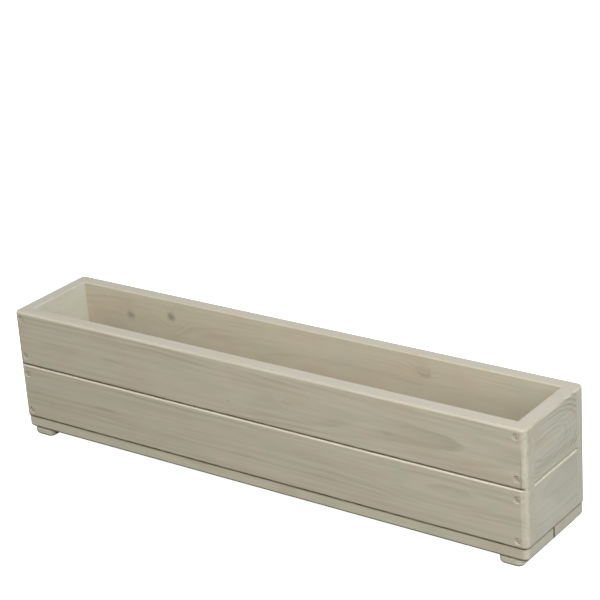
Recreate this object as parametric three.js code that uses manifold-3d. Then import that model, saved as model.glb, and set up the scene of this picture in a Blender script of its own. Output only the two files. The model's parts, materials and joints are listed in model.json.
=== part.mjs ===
// Window box planter: a long softwood trough of two board courses, standing on two foot battens.
// Frame: millimetres, +Z up, +X along the trough, front face towards -Y, origin on the ground
// under the middle of the trough.

import * as THREE from 'three';
import { mergeVertices } from 'three/addons/utils/BufferGeometryUtils.js';
import Module from 'manifold-3d';

const wasm = await Module();
wasm.setup();

// Carcass: the same two courses of boards on all four sides
const planterLength = 908;
const planterDepth = 166;
const boardWidth = 90;
const wallThickness = 23;
const cornerRadius = 9.5; // upright outer corners, rounded after assembly
const rimRadius = 4; // outer edge of the rim, rounded after assembly
const rimChamfer = 1.2; // inner edge of the rim
const jointRound = 3; // outer edges where the two courses meet
const baseRound = 3; // outer lower edge of the lower course
const arris = 1.2; // long edges that nobody sees or touches

// Bottom: one narrow and one wide board side by side under the walls
const bottomThickness = 19;
const bottomSetback = 2; // behind the outer faces of the long walls
const bottomEndSetback = 1; // behind the end faces
const frontBottomWidth = 73;
const bottomSeam = 2;
const bottomCornerRadius = 8.5;
const bottomEdgeRadius = 5.5; // lower outer edge
const seamArris = 1.6;
const drainDiameter = 12;
const drainCount = 5; // evenly along the cavity, in the back and the front board by turns

// Foot battens: one across each end
const footWidth = 38;
const footHeight = 11;
const footEndInset = 10.5; // from the end face of the carcass
const footSetback = 2; // from its front and back faces
const footCornerRadius = 10;
const footEdgeRadius = 5.5; // lower edge

// Countersunk wood screws
const shankDiameter = 3.8;
const headDiameter = 7.4;
const headLand = 0.5; // straight rim above the head's cone
const headSink = 1.1; // below the face of the board
const screwPoint = 5; // length of the tapered end
const recessWidth = 1.1;
const recessSpan = 4;
const recessDepth = 1.4;
const wallScrewLength = 50;
const bottomScrewLength = 45;
const footScrewLength = 25;
const wallScrewEndInset = 14; // from the end of a long board
const wallScrewOuterInset = 12; // from the rim and from the lower edge of the carcass
const wallScrewJointInset = 15.5; // from the joint between the courses
const screwsPerBottomBoard = 4;
const bottomScrewEndInset = 74; // from the end faces; the screws between are evenly spaced
const footScrewEdgeInset = 17; // from the long edges of a bottom board

// Fits
const seatGap = 0.3; // between boards that bear on each other
const screwGap = 0.3; // round a screw in its hole
const tipGap = 2; // beyond a screw's point

// Facets
const roundSteps = 8; // per quarter turn of a large round
const arrisSteps = 4; // per quarter turn of a small one
const screwSides = 12;
const drainSides = 24;
const pastFace = 1; // how far a cutter runs out of the wood

// Heights of the stack, from the ground up
const footTop = footHeight;
const bottomUnderside = footTop + seatGap;
const bottomTop = bottomUnderside + bottomThickness;
const lowerCourseBottom = bottomTop + seatGap;
const lowerCourseTop = lowerCourseBottom + boardWidth;
const upperCourseBottom = lowerCourseTop + seatGap;
const rimTop = upperCourseBottom + boardWidth;

// Plan places
const cavityLength = planterLength - 2 * wallThickness;
const cavityDepth = planterDepth - 2 * wallThickness;
const bottomFrontEdge = -planterDepth / 2 + bottomSetback;
const bottomBackEdge = -bottomFrontEdge;
const seamFrontEdge = bottomFrontEdge + frontBottomWidth;
const seamBackEdge = seamFrontEdge + bottomSeam;
const footCentre = planterLength / 2 - footEndInset - footWidth / 2;

const woodFinish = { roughness: 0.62, metalness: 0 };
const wallWood = new THREE.MeshStandardMaterial({ color: '#bdb7a3', ...woodFinish });
const endWood = new THREE.MeshStandardMaterial({ color: '#b9b6a6', ...woodFinish });
const bottomWood = new THREE.MeshStandardMaterial({ color: '#b8b29d', ...woodFinish });
const footWood = new THREE.MeshStandardMaterial({ color: '#b2ab94', ...woodFinish });
const screwSteel = new THREE.MeshStandardMaterial({ color: '#b4ae9b', roughness: 0.45, metalness: 0.4 });

/** Closed solid from a closed three.js geometry. */
function solidFrom(geometry) {
  const bare = geometry.clone();
  bare.deleteAttribute('normal');
  bare.deleteAttribute('uv');
  const merged = mergeVertices(bare);
  const corners = merged.index.array;
  const triVerts = [];
  for (let i = 0; i < corners.length; i += 3) {
    const [a, b, c] = corners.slice(i, i + 3);
    if (a !== b && b !== c && c !== a) {
      triVerts.push(a, b, c);
    }
  }
  const vertProperties = new Float32Array(merged.attributes.position.array);
  const mesh = new wasm.Mesh({ numProp: 3, vertProperties, triVerts: new Uint32Array(triVerts) });
  return new wasm.Manifold(mesh);
}

/** Flat-shaded three.js geometry from a solid. */
function geometryFrom(solid) {
  const mesh = solid.getMesh();
  const indexed = new THREE.BufferGeometry();
  indexed.setAttribute('position', new THREE.BufferAttribute(new Float32Array(mesh.vertProperties), 3));
  indexed.setIndex(new THREE.BufferAttribute(new Uint32Array(mesh.triVerts), 1));
  const geometry = indexed.toNonIndexed();
  geometry.computeVertexNormals();
  return geometry;
}

/** Rectangle between two opposite corners; rounds gives the radius of each corner that has one. */
function roundedRectangle(left, right, low, high, rounds = {}, steps = arrisSteps) {
  const quarter = Math.PI / 2;
  const { leftLow = 0, rightLow = 0, rightHigh = 0, leftHigh = 0 } = rounds;
  const corners = [
    { radius: leftLow, x: left + leftLow, y: low + leftLow, start: 2 * quarter },
    { radius: rightLow, x: right - rightLow, y: low + rightLow, start: 3 * quarter },
    { radius: rightHigh, x: right - rightHigh, y: high - rightHigh, start: 0 },
    { radius: leftHigh, x: left + leftHigh, y: high - leftHigh, start: quarter },
  ];
  const points = corners.flatMap(({ radius, x, y, start }) => {
    if (radius === 0) {
      return [new THREE.Vector2(x, y)];
    }
    const arc = new THREE.EllipseCurve(x, y, radius, radius, start, start + quarter);
    return arc.getPoints(steps);
  });
  return new THREE.Shape(points);
}

/** Board along X, with its section in YZ. */
function boardAlongX(length, section) {
  const geometry = new THREE.ExtrudeGeometry(section, { depth: length, bevelEnabled: false });
  geometry.translate(0, 0, -length / 2);
  const yzToX = new THREE.Matrix4().makeBasis(
    new THREE.Vector3(0, 1, 0),
    new THREE.Vector3(0, 0, 1),
    new THREE.Vector3(1, 0, 0),
  );
  return solidFrom(geometry.applyMatrix4(yzToX));
}

/** Upright block, centred in plan, with rounded upright corners and rounded upper and lower edges. */
function roundedBlock(sizeX, sizeY, bottom, top, uprightRadius, wantedEdgeRadius) {
  const edgeRadius = Math.min(wantedEdgeRadius, 0.9 * uprightRadius);
  const rounds = {
    leftLow: uprightRadius,
    rightLow: uprightRadius,
    rightHigh: uprightRadius,
    leftHigh: uprightRadius,
  };
  const outline = roundedRectangle(-sizeX / 2, sizeX / 2, -sizeY / 2, sizeY / 2, rounds, roundSteps);
  const geometry = new THREE.ExtrudeGeometry(outline, {
    depth: top - bottom - 2 * edgeRadius,
    bevelEnabled: true,
    bevelSegments: roundSteps,
    bevelThickness: edgeRadius,
    bevelSize: edgeRadius,
    bevelOffset: -edgeRadius,
  });
  geometry.translate(0, 0, bottom + edgeRadius);
  return solidFrom(geometry);
}

/** Outside of the assembled carcass, as the round-over cutter leaves it. */
function carcassEnvelope(sizeX, sizeY) {
  const hiddenBottom = lowerCourseBottom - 2 * rimRadius;
  return roundedBlock(sizeX, sizeY, hiddenBottom, rimTop, cornerRadius, rimRadius);
}

/** What the chamfer cutter takes off the inner edge of the rim. */
function rimChamferCutter(sizeX, sizeY) {
  const outline = roundedRectangle(-sizeX / 2, sizeX / 2, -sizeY / 2, sizeY / 2);
  const geometry = new THREE.ExtrudeGeometry(outline, {
    depth: pastFace,
    bevelEnabled: true,
    bevelSegments: 1,
    bevelThickness: rimChamfer,
    bevelSize: rimChamfer,
  });
  geometry.translate(0, 0, rimTop);
  return solidFrom(geometry);
}

/** Lathe about the Y axis: (radius, distance) pairs from the face of the board inwards. */
function turned(profile, sides) {
  const points = profile.map(([radius, along]) => new THREE.Vector2(radius, along));
  return new THREE.LatheGeometry(points, sides);
}

/** Countersunk screw with its head's flat top at the origin, pointing along +Y. */
function screwGeometry(length) {
  const headRadius = headDiameter / 2;
  const shankRadius = shankDiameter / 2;
  const coneEnd = headLand + headRadius - shankRadius;
  const body = solidFrom(turned([
    [0, 0],
    [headRadius, 0],
    [headRadius, headLand],
    [shankRadius, coneEnd],
    [shankRadius, length - screwPoint],
    [0, length],
  ], screwSides));
  const barDepth = recessDepth + pastFace;
  const bar = new THREE.BoxGeometry(recessSpan, barDepth, recessWidth);
  bar.translate(0, recessDepth - barDepth / 2, 0);
  const crossBar = bar.clone().rotateY(Math.PI / 2);
  return geometryFrom(body.subtract(solidFrom(bar)).subtract(solidFrom(crossBar)));
}

/** Countersink and drilled hole for that screw, from outside the board's face to past its point. */
function screwHoleGeometry(length) {
  const coneGap = screwGap * Math.SQRT2;
  const holeRadius = shankDiameter / 2 + screwGap;
  const headSeatRadius = headDiameter / 2 + coneGap;
  const coneEnd = headLand + headSeatRadius - holeRadius;
  const mouthRadius = headSeatRadius + headSink;
  const wideEnd = -headSink - pastFace;
  return turned([
    [0, wideEnd],
    [mouthRadius, wideEnd],
    [mouthRadius, -headSink],
    [headSeatRadius, 0],
    [headSeatRadius, headLand],
    [holeRadius, coneEnd],
    [holeRadius, length + tipGap],
    [0, length + tipGap],
  ], screwSides);
}

/** Every screw: its length, the sunk place of its head, its direction and the boards it joins. */
function listScrews() {
  const screws = [];
  const add = (name, length, place, direction, joins) => {
    const position = new THREE.Vector3(...place).addScaledVector(direction, headSink);
    screws.push({ name, length, position, direction, joins });
  };

  const courseHeights = {
    lower: [lowerCourseBottom + wallScrewOuterInset, lowerCourseTop - wallScrewJointInset],
    upper: [upperCourseBottom + wallScrewJointInset, rimTop - wallScrewOuterInset],
  };
  for (const [wall, outward] of [['front', -1], ['back', 1]]) {
    for (const [end, side] of [['left', -1], ['right', 1]]) {
      let number = 0;
      for (const [course, heights] of Object.entries(courseHeights)) {
        for (const height of heights) {
          number += 1;
          const x = side * (planterLength / 2 - wallScrewEndInset);
          const inward = new THREE.Vector3(0, -outward, 0);
          const joins = [`${wall}_board_${course}`, `${end}_end_board_${course}`];
          add(`${wall}_${end}_screw_${number}`, wallScrewLength,
            [x, outward * planterDepth / 2, height], inward, joins);
        }
      }
    }
  }

  const upward = new THREE.Vector3(0, 0, 1);
  for (const [wall, outward] of [['front', -1], ['back', 1]]) {
    const y = outward * (planterDepth / 2 - wallThickness / 2);
    const firstX = -planterLength / 2 + bottomScrewEndInset;
    const spacing = -2 * firstX / (screwsPerBottomBoard - 1);
    for (let i = 0; i < screwsPerBottomBoard; i += 1) {
      const x = firstX + i * spacing;
      add(`bottom_${wall}_screw_${i + 1}`, bottomScrewLength,
        [x, y, bottomUnderside], upward, [`bottom_board_${wall}`, `${wall}_board_lower`]);
    }
  }

  const footScrewRows = [
    ['front', bottomFrontEdge + footScrewEdgeInset],
    ['front', seamFrontEdge - footScrewEdgeInset],
    ['back', seamBackEdge + footScrewEdgeInset],
    ['back', bottomBackEdge - footScrewEdgeInset],
  ];
  for (const [end, side] of [['left', -1], ['right', 1]]) {
    footScrewRows.forEach(([bottomBoard, y], i) => {
      add(`foot_${end}_screw_${i + 1}`, footScrewLength,
        [side * footCentre, y, 0], upward, [`foot_batten_${end}`, `bottom_board_${bottomBoard}`]);
    });
  }
  return screws;
}

const screws = listScrews();

/** Places a screw or its hole, modelled along +Y from the origin, on a screw's line. */
function screwMatrix({ position, direction }) {
  const turn = new THREE.Quaternion().setFromUnitVectors(new THREE.Vector3(0, 1, 0), direction);
  return new THREE.Matrix4().compose(position, turn, new THREE.Vector3(1, 1, 1));
}

/** The board with the holes of every screw that joins it; toBoard leads into the board's own frame. */
function drilled(name, board, toBoard = new THREE.Matrix4()) {
  let result = board;
  for (const screw of screws.filter(({ joins }) => joins.includes(name))) {
    const hole = screwHoleGeometry(screw.length);
    hole.applyMatrix4(screwMatrix(screw)).applyMatrix4(toBoard);
    result = result.subtract(solidFrom(hole));
  }
  return result;
}

/**
 * One wall of two boards. In the wall's own frame its boards run along X and its outer face looks
 * to -Y; the group turns it about the upright axis into its place.
 */
function wall(names, turn, boardLength, outsideLength, outsideDepth, material) {
  const group = new THREE.Group();
  group.rotation.z = turn;
  group.updateMatrix();
  const toWall = group.matrix.clone().invert();
  const outerFace = -outsideDepth / 2;
  const innerFace = outerFace + wallThickness;
  const envelope = carcassEnvelope(outsideLength, outsideDepth);
  const chamferCutter = rimChamferCutter(
    outsideLength - 2 * wallThickness,
    outsideDepth - 2 * wallThickness,
  );
  const sections = {
    lower: roundedRectangle(outerFace, innerFace, lowerCourseBottom, lowerCourseTop, {
      leftLow: baseRound,
      rightLow: arris,
      rightHigh: arris,
      leftHigh: jointRound,
    }),
    upper: roundedRectangle(outerFace, innerFace, upperCourseBottom, rimTop, {
      leftLow: jointRound,
      rightLow: arris,
    }),
  };
  for (const [course, section] of Object.entries(sections)) {
    const name = names[course];
    const board = boardAlongX(boardLength, section).intersect(envelope).subtract(chamferCutter);
    const mesh = new THREE.Mesh(geometryFrom(drilled(name, board, toWall)), material);
    mesh.name = name;
    group.add(mesh);
  }
  return group;
}

function longWall(side, turn) {
  const names = { lower: `${side}_board_lower`, upper: `${side}_board_upper` };
  return wall(names, turn, planterLength, planterLength, planterDepth, wallWood);
}

/** End boards fit between the long walls. */
function endWall(side, turn) {
  const names = { lower: `${side}_end_board_lower`, upper: `${side}_end_board_upper` };
  const boardLength = cavityDepth - 2 * seatGap;
  return wall(names, turn, boardLength, planterDepth, planterLength, endWood);
}

/** Drilled drain holes of one bottom board: every second place of the row, from firstPlace on. */
function drainCutters(firstPlace, y) {
  const cutters = [];
  const depth = bottomThickness + 2 * pastFace;
  for (let place = firstPlace; place <= drainCount; place += 2) {
    const x = -cavityLength / 2 + place * cavityLength / (drainCount + 1);
    const hole = new THREE.CylinderGeometry(drainDiameter / 2, drainDiameter / 2, depth, drainSides);
    hole.rotateX(Math.PI / 2);
    hole.translate(x, y, bottomUnderside + bottomThickness / 2);
    cutters.push(solidFrom(hole));
  }
  return cutters;
}

function bottomBoard(side, frontEdge, backEdge, rounds, firstDrain) {
  const name = `bottom_board_${side}`;
  const boardLength = planterLength - 2 * bottomEndSetback;
  const envelope = roundedBlock(boardLength, planterDepth - 2 * bottomSetback,
    bottomUnderside, bottomTop + 2 * bottomEdgeRadius, bottomCornerRadius, bottomEdgeRadius);
  const section = roundedRectangle(frontEdge, backEdge, bottomUnderside, bottomTop, rounds);
  let board = boardAlongX(boardLength, section).intersect(envelope);
  for (const cutter of drainCutters(firstDrain, (frontEdge + backEdge) / 2)) {
    board = board.subtract(cutter);
  }
  const mesh = new THREE.Mesh(geometryFrom(drilled(name, board)), bottomWood);
  mesh.name = name;
  return mesh;
}

function bottom() {
  const group = new THREE.Group();
  const frontRounds = { rightLow: seamArris, rightHigh: seamArris };
  const backRounds = { leftLow: seamArris, leftHigh: seamArris };
  group.add(bottomBoard('front', bottomFrontEdge, seamFrontEdge, frontRounds, 2));
  group.add(bottomBoard('back', seamBackEdge, bottomBackEdge, backRounds, 1));
  return group;
}

/** Foot batten under one end; its upper face is sawn flat. */
function footBatten(end, side) {
  const name = `foot_batten_${end}`;
  const footLength = planterDepth - 2 * footSetback;
  const overTop = footTop + 2 * footEdgeRadius;
  const rounded = roundedBlock(footWidth, footLength, 0, overTop, footCornerRadius, footEdgeRadius);
  const above = new THREE.BoxGeometry(2 * footWidth, 2 * footLength, footHeight + overTop);
  above.translate(0, 0, footTop + (footHeight + overTop) / 2);
  const batten = rounded.subtract(solidFrom(above));
  const place = new THREE.Vector3(side * footCentre, 0, 0);
  const toFoot = new THREE.Matrix4().makeTranslation(-place.x, -place.y, -place.z);
  const mesh = new THREE.Mesh(geometryFrom(drilled(name, batten, toFoot)), footWood);
  mesh.name = name;
  mesh.position.copy(place);
  return mesh;
}

function screwMeshes() {
  const group = new THREE.Group();
  for (const screw of screws) {
    const mesh = new THREE.Mesh(screwGeometry(screw.length), screwSteel);
    mesh.name = screw.name;
    mesh.applyMatrix4(screwMatrix(screw));
    group.add(mesh);
  }
  return group;
}

const planter = new THREE.Group();
planter.name = 'window_box_planter';
planter.add(longWall('front', 0));
planter.add(endWall('right', Math.PI / 2));
planter.add(longWall('back', Math.PI));
planter.add(endWall('left', -Math.PI / 2));
planter.add(bottom());
planter.add(footBatten('left', -1));
planter.add(footBatten('right', 1));
planter.add(screwMeshes());

export default planter;
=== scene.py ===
"""Whitewashed window box planter: fine boards, screws and finishes built round the CAD frame.

Lengths are in metres, +Z up, +X along the trough and the front towards -Y.
"""

import json
import math
from typing import NamedTuple

import bmesh
import bpy
from mathutils import Matrix, Vector


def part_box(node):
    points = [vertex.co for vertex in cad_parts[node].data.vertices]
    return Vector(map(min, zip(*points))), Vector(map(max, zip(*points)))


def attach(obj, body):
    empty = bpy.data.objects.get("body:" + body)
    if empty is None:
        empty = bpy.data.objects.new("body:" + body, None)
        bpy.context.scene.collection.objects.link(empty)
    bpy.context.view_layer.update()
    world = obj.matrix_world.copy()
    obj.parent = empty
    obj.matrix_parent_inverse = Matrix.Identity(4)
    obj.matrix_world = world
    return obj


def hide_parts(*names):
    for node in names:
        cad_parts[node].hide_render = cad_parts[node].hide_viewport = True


bl_info = {
    "name": "Whitewashed Window Box",
    "version": (1, 0, 0),
    "blender": (4, 5, 0),
    "location": "3D View > Sidebar > Window Box",
    "description": "Builds the boards, screws and whitewash finish of a wooden window box planter",
    "category": "Object",
}

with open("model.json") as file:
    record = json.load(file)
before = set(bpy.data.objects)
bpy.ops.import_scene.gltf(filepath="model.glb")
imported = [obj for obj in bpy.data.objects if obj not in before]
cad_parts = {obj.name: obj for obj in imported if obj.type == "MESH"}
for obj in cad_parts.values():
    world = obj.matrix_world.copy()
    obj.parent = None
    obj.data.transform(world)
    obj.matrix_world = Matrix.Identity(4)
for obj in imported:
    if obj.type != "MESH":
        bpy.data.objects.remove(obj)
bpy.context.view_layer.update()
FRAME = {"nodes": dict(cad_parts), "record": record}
BODY = "root"

# Node names of the frame
LONG_BOARDS = ("front_board_upper", "front_board_lower", "back_board_upper", "back_board_lower")
END_BOARDS = (
    "left_end_board_upper",
    "left_end_board_lower",
    "right_end_board_upper",
    "right_end_board_lower",
)
BOTTOM_BOARDS = ("bottom_board_front", "bottom_board_back")
FEET = ("foot_batten_left", "foot_batten_right")

# Facets of the fine surfaces
ROUND_STEPS = 14  # per quarter turn of a large round
ARRIS_STEPS = 6  # per quarter turn of a small one
HOLE_SIDES = 48
SMOOTH_ANGLE = math.radians(32)
PAST_FACE = 0.002  # how far a cutter runs out of the wood
WELD = 1e-6  # points closer than this are joined

ALONG_X = 0.0  # turn about Z that lays a board's grain along the figure's own X
ALONG_Y = -math.pi / 2


def linear(hexadecimal):
    """Linear RGB of a colour written as six sRGB digits."""
    channels = []
    for place in (0, 2, 4):
        value = int(hexadecimal[place : place + 2], 16) / 255
        channels.append(value / 12.92 if value <= 0.04045 else ((value + 0.055) / 1.055) ** 2.4)
    return tuple(channels)


def opaque(colour):
    return (*colour, 1.0)


# --- Settings that a user would change ---------------------------------------------------------


def length(name, description, default):
    return bpy.props.FloatProperty(
        name=name, description=description, default=default, min=0, unit="LENGTH", precision=4
    )


def colour(name, description, hexadecimal):
    return bpy.props.FloatVectorProperty(
        name=name,
        description=description,
        default=linear(hexadecimal),
        size=3,
        min=0,
        max=1,
        subtype="COLOR",
    )


def power(name, description, default):
    return bpy.props.FloatProperty(
        name=name, description=description, default=default, min=0, unit="POWER"
    )


def strength(name, description, default):
    return bpy.props.FloatProperty(name=name, description=description, default=default, min=0)


class WindowBoxRounds(bpy.types.PropertyGroup):
    """Rounds and chamfers of the boards."""

    corner: length("Upright corner", "Radius of the carcass's upright outer corners", 0.0095)
    rim: length("Rim", "Radius of the rim's outer edge", 0.004)
    rim_chamfer: length("Rim chamfer", "Chamfer on the rim's inner edge", 0.0012)
    joint: length("Course joint", "Radius of the outer edges where the two courses meet", 0.003)
    base: length("Base", "Radius of the lower course's outer lower edge", 0.003)
    arris: length("Arris", "Radius of the edges that nobody touches", 0.0012)
    bottom_corner: length("Bottom corner", "Radius of the bottom boards' plan corners", 0.0085)
    bottom_edge: length("Bottom edge", "Radius of the bottom boards' lower outer edge", 0.0055)
    bottom_seam: length("Bottom seam", "Radius of the edges between the bottom boards", 0.0016)
    foot_corner: length("Foot corner", "Radius of the feet's plan corners", 0.010)
    foot_edge: length("Foot edge", "Radius of the feet's lower edge", 0.0055)
    drain: length("Drain hole", "Diameter of a drain hole", 0.012)
    drain_chamfer: length("Drain chamfer", "Chamfer round a drain hole", 0.0006)


class WindowBoxScrews(bpy.types.PropertyGroup):
    """Countersunk screws and their holes."""

    head: length("Head", "Diameter of a screw's head", 0.0074)
    land: length("Head land", "Straight rim above the head's cone", 0.0005)
    shank: length("Shank", "Diameter of the shank", 0.0038)
    point: length("Point", "Length of the tapered end", 0.005)
    soft_rim: length("Soft rim", "Rounding of the head's painted rim", 0.0002)
    recess_width: length("Recess width", "Width of a bar of the cross recess", 0.0011)
    recess_span: length("Recess span", "Length of a bar of the cross recess", 0.004)
    recess_depth: length("Recess depth", "Depth of the cross recess", 0.0014)
    clearance: length("Clearance", "Gap round a screw in its hole", 0.0003)
    beyond_tip: length("Beyond the tip", "Depth of the hole past the point", 0.002)
    lip: length("Lip", "Rounding of the wood round the countersink", 0.0006)
    turn_seed: bpy.props.IntProperty(
        name="Turn seed", description="Seed for how far each recess is turned", default=7, min=0
    )


class WindowBoxFinish(bpy.types.PropertyGroup):
    """Colours of the whitewashed wood and the painted screws."""

    wash: colour("Whitewash", "Whitewash on the long boards", "cac2ad")
    end_wash: colour("End wash", "Whitewash on the end boards", "cbcabc")
    # Partly real, partly painted shade: an even coat without grain on the faces that look up, in a
    # darker tone that takes back light falling from above
    rim_wash_and_shade: colour("Rim wash and shade", "Even whitewash on the faces that look up, darkened as painted shade", "beb9ab")
    bottom_wash: colour("Bottom wash", "Whitewash on the bottom boards and feet", "d1ccb5")
    cool_patch: colour("Cool patch", "Tint where the wash lies over pale sapwood", "bfc1b0")
    warm_patch: colour("Warm patch", "Tint where the wash lies over pinkish heartwood", "c8b8a4")
    wood: colour("Wood", "Softwood where it shows through the wash", "8f8468")
    knot: colour("Knot", "Heart of a knot under the wash", "5a5558")
    end_grain: colour("End grain", "Washed end grain", "ccc9b8")
    # Painted highlight: a pale colour along the upper edge of the lower boards, where light falls
    # on the round of the course joint
    edge: colour("Edge", "Wash that has built up along an edge", "ebe2cc")
    # Painted shade: a dark colour on the rounds that face down and in the joints, where little
    # light reaches
    painted_shade: colour("Grime", "Painted shade along lower edges and in the joints", "5f4f35")
    steel: colour("Steel", "Screw metal in the recess", "8c887c")


class WindowBoxStage(bpy.types.PropertyGroup):
    """Camera, floor and lights."""

    camera_place: bpy.props.FloatVectorProperty(
        name="Camera place",
        description="Where the camera stands",
        default=(1.6319, -2.1290, 1.3777),
        subtype="TRANSLATION",
        unit="LENGTH",
    )
    camera_turn: bpy.props.FloatVectorProperty(
        name="Camera turn",
        description="Tilt, roll and heading of the camera",
        default=(math.radians(67.682), math.radians(3.685), math.radians(35.247)),
        subtype="EULER",
        unit="ROTATION",
    )
    focal_length: bpy.props.FloatProperty(
        name="Focal length",
        description="Focal length of the camera in millimetres",
        default=119.9,
        min=1,
        unit="CAMERA",
    )
    floor: colour("Floor", "Pale studio floor", "fafafa")
    floor_bounce: colour("Floor bounce", "Light that the floor sends back up", "595959")
    floor_width: length("Floor width", "Side of the square floor", 40.0)
    floor_glow: strength("Floor glow", "Light of its own that keeps the floor pale", 0.97)
    key_light: power("Key light", "Power of the softbox in front and above", 31.0)
    right_light: power("Right light", "Power of the large softbox on the right", 57.0)
    left_light: power("Left light", "Power of the large softbox on the left", 35.0)
    front_light: power("Front light", "Power of the low softbox close in front", 2.5)
    near_light: power("Near light", "Power of the softbox by the right front corner", 2.6)
    rear_light: power("Rear light", "Power of the low softbox that lights the back", 18.0)
    sky: strength("Sky", "Strength of the even light all round", 0.36)


class WindowBoxSettings(bpy.types.PropertyGroup):
    """Everything that a user would change."""

    rounds: bpy.props.PointerProperty(type=WindowBoxRounds)
    screws: bpy.props.PointerProperty(type=WindowBoxScrews)
    finish: bpy.props.PointerProperty(type=WindowBoxFinish)
    stage: bpy.props.PointerProperty(type=WindowBoxStage)


# --- Node trees --------------------------------------------------------------------------------

FLOAT = "NodeSocketFloat"
VECTOR = "NodeSocketVector"


class Graph:
    """Adds nodes to one tree, each with its inputs set or wired."""

    def __init__(self, tree):
        self.tree = tree

    def node(self, kind, inputs=None, **settings):
        """inputs is by socket name or number; a value is a socket to wire or a constant."""
        node = self.tree.nodes.new(kind)
        for name, value in settings.items():
            setattr(node, name, value)
        for key, value in (inputs or {}).items():
            self.feed(node.inputs[key], value)
        return node

    def feed(self, socket, value):
        if isinstance(value, bpy.types.NodeSocket):
            self.tree.links.new(value, socket)
        else:
            socket.default_value = value

    def math(self, operation, *values, clamp=False):
        kind = "ShaderNodeMath"
        inputs = dict(enumerate(values))
        return self.node(kind, inputs, operation=operation, use_clamp=clamp).outputs[0]

    def vector_math(self, operation, *values, output=0):
        kind = "ShaderNodeVectorMath"
        return self.node(kind, dict(enumerate(values)), operation=operation).outputs[output]

    def ramp(self, value, start, end, low=0.0, high=1.0):
        """value's stretch from start to end, eased from low to high."""
        inputs = {"Value": value, "From Min": start, "From Max": end, "To Min": low, "To Max": high}
        node = self.node("ShaderNodeMapRange", inputs, interpolation_type="SMOOTHSTEP")
        return node.outputs["Result"]

    def mix(self, factor, first, second):
        """Colour mix."""
        node = self.node("ShaderNodeMix", data_type="RGBA")
        self.feed(node.inputs["Factor"], factor)
        self.feed(node.inputs[6], first)
        self.feed(node.inputs[7], second)
        return node.outputs[2]

    def noise(self, vector, scale, detail=2.0, roughness=0.5):
        inputs = {"Vector": vector, "Scale": scale, "Detail": detail, "Roughness": roughness}
        return self.node("ShaderNodeTexNoise", inputs).outputs["Fac"]

    def parts(self, vector):
        return self.node("ShaderNodeSeparateXYZ", {0: vector}).outputs

    def vector(self, x=0.0, y=0.0, z=0.0):
        return self.node("ShaderNodeCombineXYZ", {0: x, 1: y, 2: z}).outputs[0]

    def group(self, name, build, inputs):
        """Outputs of the shader group of that name, which is built when it is first asked for."""
        node = self.tree.nodes.new("ShaderNodeGroup")
        node.node_tree = bpy.data.node_groups.get(name) or build()
        for key, value in inputs.items():
            self.feed(node.inputs[key], value)
        return node.outputs

    def shifted(self, vector, stretch, seed):
        """vector stretched along each axis and moved by seed, to draw a noise of its own."""
        shift = self.vector(seed, seed, seed)
        return self.vector_math("MULTIPLY_ADD", vector, stretch, shift)


def new_group(name, tree_kind, inputs, outputs):
    """An empty node group with named sockets; returns its tree, graph, inputs and output node."""
    tree = bpy.data.node_groups.new(name, tree_kind)
    for socket, kind, default in inputs:
        made = tree.interface.new_socket(socket, in_out="INPUT", socket_type=kind)
        if default is not None:
            made.default_value = default
    for socket, kind in outputs:
        tree.interface.new_socket(socket, in_out="OUTPUT", socket_type=kind)
    graph = Graph(tree)
    given = graph.node("NodeGroupInput").outputs
    result = graph.node("NodeGroupOutput")
    return tree, graph, given, result


# --- Shader groups -----------------------------------------------------------------------------


def growth_rings_group():
    """Growth rings of a softwood log, seen wherever the board's faces cut them.

    Vector is in the board's own frame with the grain along X. The pith is a line along the grain
    that bows away from the board on both sides of Pith's own X, so the rings close into ovals
    there, and straightens again at about Reach from it.
    """
    tree, graph, given, result = new_group(
        "Growth rings",
        "ShaderNodeTree",
        [
            ("Vector", VECTOR, None),
            ("Pith", VECTOR, None),
            ("Bow", FLOAT, 0.05),
            ("Reach", FLOAT, 1.0),
            ("Ring Width", FLOAT, 0.004),
            ("Wander", FLOAT, 0.01),
            ("Push", FLOAT, 0.0),
            ("Seed", FLOAT, 0.0),
        ],
        [("Latewood", FLOAT)],
    )
    from_pith = graph.vector_math("SUBTRACT", given["Vector"], given["Pith"])
    x, y, z = graph.parts(from_pith)[:3]
    along = graph.math("DIVIDE", x, given["Reach"])
    levelling = graph.math("MULTIPLY_ADD", along, along, 1.0)
    bow = graph.math("MULTIPLY", graph.math("MULTIPLY", x, x), given["Bow"])
    bow = graph.math("DIVIDE", bow, levelling)
    depth = graph.math("ADD", graph.math("ABSOLUTE", y), bow)
    radius = graph.vector_math("LENGTH", graph.vector(0.0, depth, z), output=1)

    for stretch, share in (((2.4, 9.0, 9.0), 1.0), ((11.0, 45.0, 45.0), 0.3)):
        wavy = graph.shifted(given["Vector"], stretch, given["Seed"])
        swing = graph.math("SUBTRACT", graph.noise(wavy, 1.0, detail=2.0), 0.5)
        swing = graph.math("MULTIPLY", swing, given["Wander"])
        radius = graph.math("MULTIPLY_ADD", swing, share, radius)
    radius = graph.math("ADD", radius, given["Push"])

    rings = graph.math("DIVIDE", radius, given["Ring Width"])
    phase = graph.math("FRACT", rings)
    darkest = 0.84  # of a year's growth
    rise = graph.ramp(phase, 0.2, darkest)
    fall = graph.ramp(phase, darkest, 1.0, 1.0, 0.0)
    year = graph.vector(graph.math("FLOOR", rings), given["Seed"], 0.5)
    good_year = graph.ramp(graph.noise(year, 0.73, detail=0.0), 0.3, 0.7, 0.25, 1.0)
    cloudy = graph.shifted(given["Vector"], (6.0, 30.0, 30.0), given["Seed"])
    cloudy = graph.ramp(graph.noise(cloudy, 1.0, detail=1.0), 0.35, 0.65, 0.2, 1.0)
    latewood = graph.math("MULTIPLY", graph.math("MULTIPLY", rise, fall), good_year)
    graph.feed(result.inputs["Latewood"], graph.math("MULTIPLY", latewood, cloudy))
    return tree


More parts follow.
